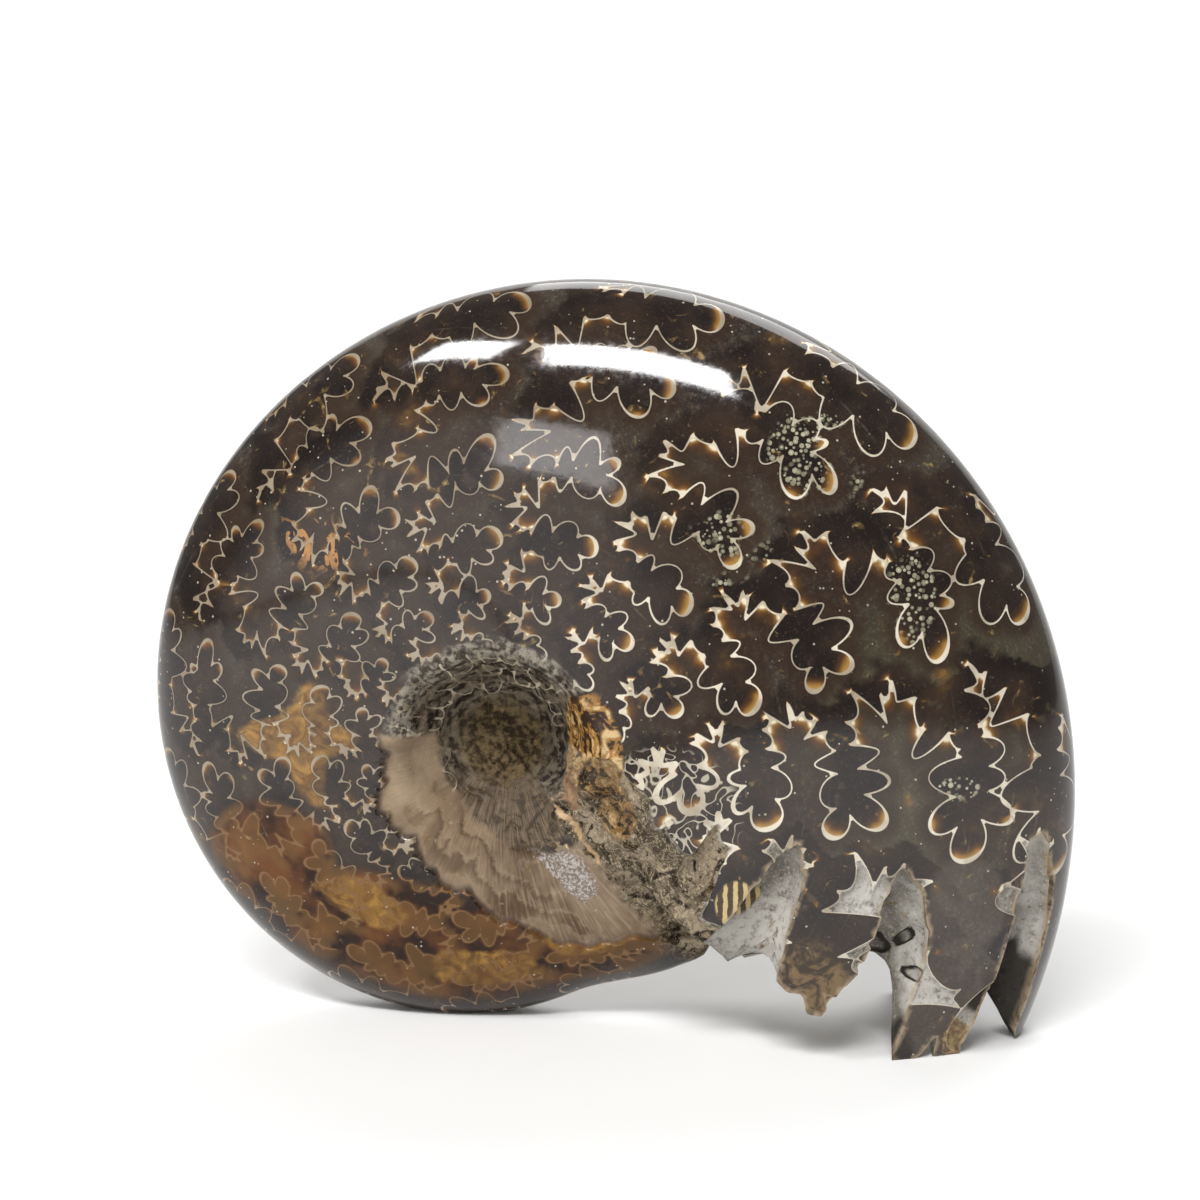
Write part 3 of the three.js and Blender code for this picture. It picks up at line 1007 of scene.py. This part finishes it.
# Materials
class Shader:
    """Short ways to add and join the nodes of one material."""

    def __init__(self, name):
        self.material = bpy.data.materials.new(name)
        self.material.use_nodes = True
        self.nodes = self.material.node_tree.nodes
        self.links = self.material.node_tree.links
        self.surface = self.nodes["Principled BSDF"].inputs
        self.place = self.nodes.new("ShaderNodeTexCoord").outputs["Object"]

    def put(self, socket, value):
        if isinstance(value, bpy.types.NodeSocket):
            self.links.new(value, socket)
        elif isinstance(value, tuple):
            socket.default_value = (*value, 1)
        else:
            socket.default_value = value

    def math(self, operation, *values):
        node = self.nodes.new("ShaderNodeMath")
        node.operation = operation
        for socket, value in zip(node.inputs, values):
            self.put(socket, value)
        return node.outputs[0]

    def swing(self, value, strength=1):
        """A noise moved to lie about zero, then strengthened."""
        moved = self.math("SUBTRACT", value, 0.5)
        return moved if strength == 1 else self.math("MULTIPLY", moved, strength)

    def mask(self, name):
        node = self.nodes.new("ShaderNodeAttribute")
        node.attribute_name = name
        return node.outputs["Fac"]

    def ramp(self, value, low, high, start=0.0, end=1.0):
        """Smooth change from start to end while value goes from low to high."""
        node = self.nodes.new("ShaderNodeMapRange")
        node.interpolation_type = "SMOOTHSTEP"
        names = ("Value", "From Min", "From Max", "To Min", "To Max")
        for name, item in zip(names, (value, low, high, start, end)):
            self.put(node.inputs[name], item)
        return node.outputs["Result"]

    def mix(self, share, a, b):
        node = self.nodes.new("ShaderNodeMix")
        node.data_type = "RGBA"
        self.put(node.inputs[0], share)
        self.put(node.inputs[6], a)
        self.put(node.inputs[7], b)
        return node.outputs[2]

    def layered(self, tone, *layers):
        """A tone with others laid over it in turn, each given after its share."""
        for share, over in layers:
            tone = self.mix(share, tone, over)
        return tone

    def noise(self, size, detail, roughness=0.55, distortion=0.0, place=None):
        node = self.nodes.new("ShaderNodeTexNoise")
        self.put(node.inputs["Vector"], self.place if place is None else place)
        node.inputs["Scale"].default_value = 1 / (size * MM)
        node.inputs["Detail"].default_value = detail
        node.inputs["Roughness"].default_value = roughness
        node.inputs["Distortion"].default_value = distortion
        return node.outputs["Fac"]

    def coil_noise(self, along, outward, detail):
        """Noise in coordinates that follow the coil: along times the angle, outward times the radius."""
        place = self.nodes.new("ShaderNodeCombineXYZ")
        self.put(place.inputs[0], self.math("MULTIPLY", self.mask("turn"), along))
        self.put(place.inputs[1], self.math("MULTIPLY", self.mask("radius"), outward))
        return self.noise(1 / MM, detail, 0.5, place=place.outputs[0])

    def grains(self, size):
        node = self.nodes.new("ShaderNodeTexVoronoi")
        self.put(node.inputs["Vector"], self.place)
        node.inputs["Scale"].default_value = 1 / (size * MM)
        return node.outputs

    def parts(self, kind, value):
        """The three parts of a colour or of a place."""
        node = self.nodes.new(kind)
        self.put(node.inputs[0], value)
        return node.outputs


fossil = Shader("polished_fossil")
mask, ramp, mix, layered, swing = fossil.mask, fossil.ramp, fossil.mix, fossil.layered, fossil.swing
plus = partial(fossil.math, "ADD")
minus = partial(fossil.math, "SUBTRACT")
times = partial(fossil.math, "MULTIPLY")
most = partial(fossil.math, "MAXIMUM")
blotch = fossil.noise(16, 2)
cloud = fossil.noise(5, 3)
veins = fossil.noise(2.3, 4, 0.58, 1.8)
fine = fossil.noise(0.7, 3, 0.65)
speck = fossil.noise(0.3, 2, 0.7)
growth = fossil.coil_noise(60.0, 0.35, 1)
swirl = fossil.coil_noise(3.2, 1.5, 2)


def flank_tone():
    """Near-black brown in the saddles, greyer and greener rock between them, amber low on the left."""
    leaf = mask("leaf")
    rock = layered(
        mix(ramp(blotch, 0.38, 0.62), (0.019, 0.0135, 0.0115), (0.044, 0.035, 0.025)),
        (times(mask("olive"), 0.75), (0.052, 0.047, 0.026)),
        (ramp(fine, 0.42, 0.75, 0, 0.5), (0.080, 0.063, 0.042)),
        (ramp(speck, 0.52, 0.72, 0, 0.6), (0.12, 0.10, 0.072)),
        (ramp(mask("gap"), 0.4, 2.4, 0.8, 0), (0.026, 0.013, 0.007)),
    )
    filled = mix(ramp(cloud, 0.35, 0.7), (0.009, 0.0055, 0.0045), (0.028, 0.016, 0.010))
    filled = mix(ramp(speck, 0.55, 0.75, 0, 0.5), filled, (0.055, 0.04, 0.026))
    red_brown = mix(ramp(cloud, 0.36, 0.64), (0.016, 0.006, 0.003), (0.12, 0.043, 0.011))
    red_brown = mix(times(leaf, 0.6), red_brown, (0.14, 0.070, 0.020))
    gold = mix(ramp(veins, 0.32, 0.68), (0.11, 0.05, 0.012), (0.30, 0.16, 0.035))
    gold_share = ramp(plus(mask("gold"), swing(cloud, 2.4)), 0.3, 0.8)
    worn = mix(speck, (0.045, 0.034, 0.028), (0.13, 0.105, 0.085))
    # Painted shade: darker along the keel low on the left, where the flank turns away from the light
    keel_shade = times(mask("amber"), ramp(mask("fraction"), 0.86, 0.97))
    return layered(
        mix(leaf, rock, filled),
        (ramp(plus(mask("amber"), swing(blotch)), 0.3, 0.7), red_brown),
        (times(gold_share, ramp(leaf, 0, 1, 1, 0.5)), gold),
        (ramp(plus(mask("worn"), swing(cloud)), 0.2, 0.7, 0, 0.45), worn),
        # Painted shade along the keel
        (times(keel_shade, 0.8), (0.022, 0.012, 0.008)),
        (times(mask("flecks"), ramp(veins, 0.57, 0.61)), (0.36, 0.17, 0.055)),
    )


def with_crystals(flank):
    """Pale crystals over the flank: crowded in patches of the saddles, thinly strewn elsewhere."""
    grain = fossil.grains(CRYSTAL_SIZE)
    shade, size, pick = fossil.parts("ShaderNodeSeparateColor", grain["Color"])
    edge = minus(grain["Distance"], ramp(size, 0, 1, 0.30, 0.56))
    crowded = times(ramp(mask("crystals"), 0.1, 0.4), ramp(edge, -0.05, 0.03, 1, 0))
    tone = mix(shade, (0.075, 0.07, 0.042), (0.34, 0.32, 0.22))
    tone = mix(ramp(grain["Distance"], 0.0, 0.3, 0.5, 0), tone, (0.55, 0.53, 0.42))
    dust_edge = minus(grain["Distance"], ramp(size, 0.2, 1, 0.05, 0.22))
    dust = times(ramp(dust_edge, -0.03, 0.04, 1, 0), ramp(pick, 0.84, 0.86))
    return layered(
        flank,
        (times(crowded, mask("leaf")), tone),
        (times(dust, 0.75), (0.46, 0.42, 0.33)),
    )


def with_sutures(flank):
    """Amber behind the ends of saddles and in the crowns of lobes, then cream tips and lines."""
    amber, turn_here = mask("amber"), mask("turn")
    bright = times(ramp(amber, 0.05, 0.5, 1, 0.3), ramp(turn_here, 0.8, 1.9, 1, 0.85))
    tip_glow = times(mask("tip_glow"), bright)
    glow = most(times(tip_glow, 1.1), times(mask("end_glow"), bright))
    cream = layered(
        mix(ramp(cloud, 0.35, 0.62), (0.30, 0.25, 0.18), (0.62, 0.56, 0.45)),
        (ramp(turn_here, 0.7, 1.7, 0, 0.7), (0.16, 0.115, 0.068)),
        (ramp(amber, 0.1, 0.6, 0, 0.92), (0.17, 0.085, 0.030)),
    )
    loops = fossil.math("ABSOLUTE", swing(fossil.noise(1.9, 0, 0.5, 1.6)))
    calcite = times(ramp(loops, 0.02, 0.06, 0.85, 0), ramp(mask("calcite"), 0.25, 0.6))
    thick = plus(mask("line"), times(mask("calcite"), 0.16))
    line_edge = minus(plus(mask("gap"), swing(speck, 0.06)), thick)
    return layered(
        flank,
        (ramp(glow, 0.30, 0.72, 0, 0.95), (0.11, 0.045, 0.010)),
        (ramp(glow, 0.50, 0.95, 0, 0.95), (0.40, 0.23, 0.06)),
        (ramp(tip_glow, 0.60, 0.74), (0.62, 0.54, 0.39)),
        (calcite, (0.40, 0.36, 0.28)),
        (ramp(line_edge, *LINE_BLUR, 1.0, 0.0), cream),
    )


def chamber_wall_tone():
    """Pale grey, dark towards some finger tips, with dark rings round the pits."""
    pits = mask("pits")
    return layered(
        mix(ramp(cloud, 0.35, 0.68), (0.16, 0.145, 0.12), (0.46, 0.44, 0.40)),
        (ramp(fine, 0.48, 0.75, 0, 0.8), (0.08, 0.065, 0.05)),
        (ramp(speck, 0.5, 0.7, 0, 0.5), (0.5, 0.48, 0.43)),
        (ramp(mask("dark_tip"), 0.05, 0.6, 0, 0.95), (0.022, 0.018, 0.015)),
        (times(ramp(pits, 0.02, 0.15), ramp(pits, 0.35, 0.75, 1, 0.25)), (0.02, 0.017, 0.014)),
    )


def shell_tone():
    """Beige near its upper end, browner further on, with growth lines, painted shade and highlights on
    the flakes, and a sugary patch.
    """
    ledge = mask("ledge")
    ragged = plus(swing(fine, 2.2), swing(cloud))
    sugar = mix(ramp(speck, 0.40, 0.62), (0.16, 0.125, 0.105), (0.46, 0.43, 0.41))
    return layered(
        mix(ramp(mask("turn"), 3.3, 4.4), (0.32, 0.235, 0.15), (0.19, 0.135, 0.088)),
        (ramp(cloud, 0.38, 0.66, 0, 0.85), (0.105, 0.066, 0.040)),
        (ramp(blotch, 0.45, 0.65, 0, 0.5), (0.30, 0.21, 0.13)),
        (times(ramp(growth, 0.48, 0.7), growth_share), (0.34, 0.26, 0.18)),
        (times(ramp(growth, 0.30, 0.46, 1, 0), growth_share), (0.06, 0.042, 0.028)),
        # Painted shade darkening each flake towards the next ledge, then a painted highlight just past
        # each ledge
        (ramp(ledge, 0.45, 1.0, 0, 0.6), (0.075, 0.048, 0.030)),
        (ramp(ledge, 0.02, 0.3, 0.35, 0), (0.34, 0.26, 0.18)),
        (ramp(mask("shell_depth"), 0, 0.7, 0.8, 0), (0.06, 0.045, 0.04)),
        (ramp(plus(mask("sugar"), ragged), 0.35, 0.75, 0, 0.85), sugar),
    )


def crust_tone():
    """Mottled brown rock with pale veins, dark spots of painted shade for hollows, and a pale foot."""
    vein_edge = fossil.math("ABSOLUTE", minus(veins, 0.47))
    return layered(
        mix(ramp(cloud, 0.38, 0.62), (0.075, 0.055, 0.034), (0.30, 0.24, 0.165)),
        (ramp(fine, 0.46, 0.66, 0, 0.8), (0.055, 0.038, 0.022)),
        (ramp(vein_edge, 0.0, 0.03, 0.85, 0), (0.42, 0.34, 0.225)),
        # Painted shade: two sets of near-black spots stand for the shade in hollows, which the relief
        # here does not have
        (ramp(fossil.noise(3.2, 2, 0.5, 0.6), 0.56, 0.63), (0.020, 0.014, 0.009)),
        (ramp(veins, 0.58, 0.64), (0.014, 0.010, 0.007)),
        (ramp(speck, 0.54, 0.68, 0, 0.6), (0.52, 0.45, 0.34)),
        (ramp(mask("mineral"), 0.45, 0.9, 0, 0.6), ochre_veins),
        (ramp(plus(mask("foot"), swing(fine)), 0.3, 0.6), (0.52, 0.36, 0.20)),
    )


def umbilicus_tone():
    """Dark mottled wall with scalloped lines, growth lines on the bare side and frost above."""
    fan = mix(ramp(growth, 0.3, 0.7), (0.055, 0.038, 0.024), (0.17, 0.125, 0.082))
    fan = mix(ramp(veins, 0.5, 0.62, 0, 0.8), fan, (0.03, 0.021, 0.014))
    line_tone = mix(ramp(cloud, 0.4, 0.6), (0.18, 0.14, 0.095), (0.52, 0.45, 0.34))
    line_edge = minus(mask("ring_gap"), mask("ring_line"))
    return layered(
        mix(ramp(swirl, 0.42, 0.62), (0.016, 0.011, 0.008), (0.13, 0.105, 0.075)),
        (ramp(fine, 0.48, 0.68, 0, 0.6), (0.24, 0.20, 0.15)),
        (ramp(mask("turn"), 3.6, 4.2, 0, 0.85), fan),
        (frost_share, frosted),
        (ramp(line_edge, *LINE_BLUR, 0.9, 0), line_tone),
    )


def core_tone():
    """Brown core with a paler rim."""
    rim_share = times(ramp(mask("radius"), 3.2, 5.0), ramp(swirl, 0.42, 0.6, 0.1, 0.8))
    return layered(
        mix(ramp(fine, 0.38, 0.65), (0.022, 0.014, 0.006), (0.13, 0.092, 0.045)),
        (rim_share, (0.16, 0.125, 0.085)),
    )


def with_small_places(colour):
    """The nodule, the striped patch, the stained finger tips and the pale rim of the broken edge."""
    nodule = mix(ramp(cloud, 0.4, 0.6), (0.22, 0.13, 0.07), (0.40, 0.26, 0.15))
    across = fossil.parts("ShaderNodeSeparateXYZ", fossil.place)[0]
    phase = times(plus(across, times(fine, STRIPE_WOBBLE * MM)), FULL_TURN / (STRIPE_PITCH * MM))
    wave = fossil.math("SINE", phase)
    stripes = mix(ramp(wave, -0.1, 0.4), (0.05, 0.026, 0.012), (0.52, 0.40, 0.18))
    gold = mix(ramp(fine, 0.4, 0.65), (0.10, 0.055, 0.022), (0.32, 0.22, 0.085))
    brown = mix(ramp(laced, 0.40, 0.60), (0.035, 0.022, 0.011), (0.19, 0.12, 0.052))
    return layered(
        colour,
        (ramp(mask("nodule"), 0.25, 0.5, 0, 0.9), nodule),
        (ramp(mask("stripes"), 0.25, 0.55, 0, 0.9), stripes),
        (ramp(plus(mask("gold_tip"), swing(veins, 2.0)), 0.25, 0.5, 0, 0.85), gold),
        (ramp(mask("brown_tip"), 0.1, 0.9, 0, 0.8), brown),
        (times(mask("brink"), ramp(veins, 0.35, 0.55, 0.2, 0.9)), (0.33, 0.25, 0.16)),
    )


# Tones and shares that more than one part uses
laced = plus(veins, swing(fine, 0.35))
ochre_veins = layered(
    mix(ramp(laced, 0.42, 0.52), (0.025, 0.012, 0.006), (0.30, 0.15, 0.035)),
    (ramp(laced, 0.54, 0.60), (0.50, 0.36, 0.18)),
)
frosted = mix(ramp(fine, 0.38, 0.62), (0.05, 0.040, 0.030), (0.30, 0.265, 0.215))
mineral_share = ramp(plus(mask("mineral"), swing(cloud)), 0.35, 0.6)
frost_share = ramp(plus(mask("frost"), swing(swirl, 2.4)), 0.35, 1.1, 0, 0.9)
growth_share = ramp(mask("turn"), 4.5, 5.1, 0.22, 0.5)
chamber_wall_share = ramp(mask("beyond"), -0.02, 0.04)

flank = layered(
    with_sutures(with_crystals(flank_tone())),
    (mineral_share, ochre_veins),
    (times(frost_share, 0.6), frosted),
)
colour = layered(
    mix(chamber_wall_share, flank, chamber_wall_tone()),
    (mask("umbilicus"), umbilicus_tone()),
    (times(mineral_share, mask("umbilicus")), ochre_veins),
    (mask("shell"), shell_tone()),
    (mask("plug"), core_tone()),
    (mask("crust"), crust_tone()),
)
fossil.put(fossil.surface["Base Color"], with_small_places(colour))

matte = most(most(chamber_wall_share, most(mask("crust"), mask("umbilicus"))), mask("shell"))
roughness = fossil.nodes.new("ShaderNodeMix")
fossil.put(roughness.inputs[0], matte)
fossil.put(roughness.inputs[2], ramp(fine, 0.3, 0.8, 0.05, 0.13))
fossil.put(roughness.inputs[3], ramp(cloud, 0.3, 0.7, 0.5, 0.75))
fossil.put(fossil.surface["Roughness"], roughness.outputs[0])
specular = minus(ramp(matte, 0, 1, 0.5, 0.12), times(mask("amber"), 0.25))
fossil.put(fossil.surface["Specular IOR Level"], specular)
bump = fossil.nodes.new("ShaderNodeBump")
bump.inputs["Distance"].default_value = BUMP_DEPTH * MM
fossil.put(bump.inputs["Strength"], ramp(matte, 0, 1, 0.02, 0.7))
growth_ridges = times(growth, times(mask("shell"), growth_share))
fossil.put(bump.inputs["Height"], plus(fine, growth_ridges))
fossil.put(fossil.surface["Normal"], bump.outputs["Normal"])
mesh.materials.append(fossil.material)

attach(ammonite, "root")
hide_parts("ammonite")

# Floor
sweep = [(SWEEP_FRONT, 0)]
for i in range(SWEEP_STEPS + 1):
    bend = math.radians(90 * i / SWEEP_STEPS)
    sweep.append((SWEEP_START + SWEEP_RADIUS * math.sin(bend), SWEEP_RADIUS * (1 - math.cos(bend))))
sweep.append((SWEEP_START + SWEEP_RADIUS, SWEEP_TOP))
floor_points = [(side * SWEEP_HALF_WIDTH, y, z) for y, z in sweep for side in (-1, 1)]
floor_faces = [(2 * i, 2 * i + 1, 2 * i + 3, 2 * i + 2) for i in range(len(sweep) - 1)]
floor_mesh = bpy.data.meshes.new("floor")
floor_mesh.from_pydata(floor_points, [], floor_faces)
floor_mesh.polygons.foreach_set("use_smooth", [True] * len(floor_faces))
floor = bpy.data.objects.new("floor", floor_mesh)
scene.collection.objects.link(floor)
paper = Shader("pale_floor")
paper_tone = paper.mix(paper.noise(40, 3), (0.86, 0.86, 0.85), (0.90, 0.90, 0.89))
paper.put(paper.surface["Base Color"], paper_tone)
paper.surface["Roughness"].default_value = 0.7
floor_mesh.materials.append(paper.material)


def looking_from(azimuth, elevation):
    """Directions to the right, up and back of something that looks down from there."""
    turn_to, tilt = math.radians(azimuth), math.radians(elevation)
    level = math.cos(tilt)
    back = np.array([math.sin(turn_to) * level, -math.cos(turn_to) * level, math.sin(tilt)])
    to_right = np.array([math.cos(turn_to), math.sin(turn_to), 0])
    return to_right, np.cross(back, to_right), back


def add_aimed(name, data, directions, spot):
    """Add a camera or light to the scene, at a spot in metres."""
    aimed = bpy.data.objects.new(name, data)
    matrix = Matrix(np.column_stack(directions).tolist()).to_4x4()
    matrix.translation = Vector(spot)
    aimed.matrix_world = matrix
    scene.collection.objects.link(aimed)
    return aimed


def add_light(name, directions, spot, size, power):
    data = bpy.data.lights.new(name, "AREA")
    data.shape = "RECTANGLE"
    data.size, data.size_y = size
    data.energy = power
    add_aimed(name, data, directions, spot)


# Camera
camera_data = bpy.data.cameras.new("camera")
camera_data.sensor_width = SENSOR_WIDTH
camera_data.lens = LENS
view = looking_from(*VIEW)
view_right, view_up, view_back = view
eye = np.array([AXIS_X, 0, AXIS_HEIGHT]) + view_right * VIEW_OFFSET[0] + view_up * VIEW_OFFSET[1]
eye = (eye + view_back * VIEW_DISTANCE) * MM
bpy.context.scene.camera = add_aimed("camera", camera_data, view, eye.tolist())

# Lights
for name, (azimuth, elevation, reach, width, height, brightness) in LIGHTS.items():
    directions = looking_from(azimuth, elevation)
    spot = LIGHT_TARGET + directions[2] * reach
    add_light(name, directions, spot.tolist(), (width, height), brightness * math.pi * width * height)
add_light("backdrop_wash", looking_from(0, WASH_ELEVATION), WASH_PLACE, WASH_SIZE, WASH_POWER)

# Room
world = bpy.data.worlds.new("studio")
world.use_nodes = True
room = world.node_tree
background = room.nodes["Background"].inputs
background["Color"].default_value = (1, 1, 1, 1)
toward = room.nodes.new("ShaderNodeVectorMath")
toward.operation = "DOT_PRODUCT"
toward.inputs[1].default_value = GLOW_DIRECTION
glow = room.nodes.new("ShaderNodeMapRange")
glow.interpolation_type = "SMOOTHSTEP"
for name, value in (("From Min", GLOW_EDGE), ("To Min", ROOM_STRENGTH), ("To Max", GLOW_STRENGTH)):
    glow.inputs[name].default_value = value
room.links.new(room.nodes.new("ShaderNodeTexCoord").outputs["Generated"], toward.inputs[0])
room.links.new(toward.outputs["Value"], glow.inputs["Value"])
room.links.new(glow.outputs["Result"], background["Strength"])
scene.world = world
scene.view_settings.view_transform = "Standard"
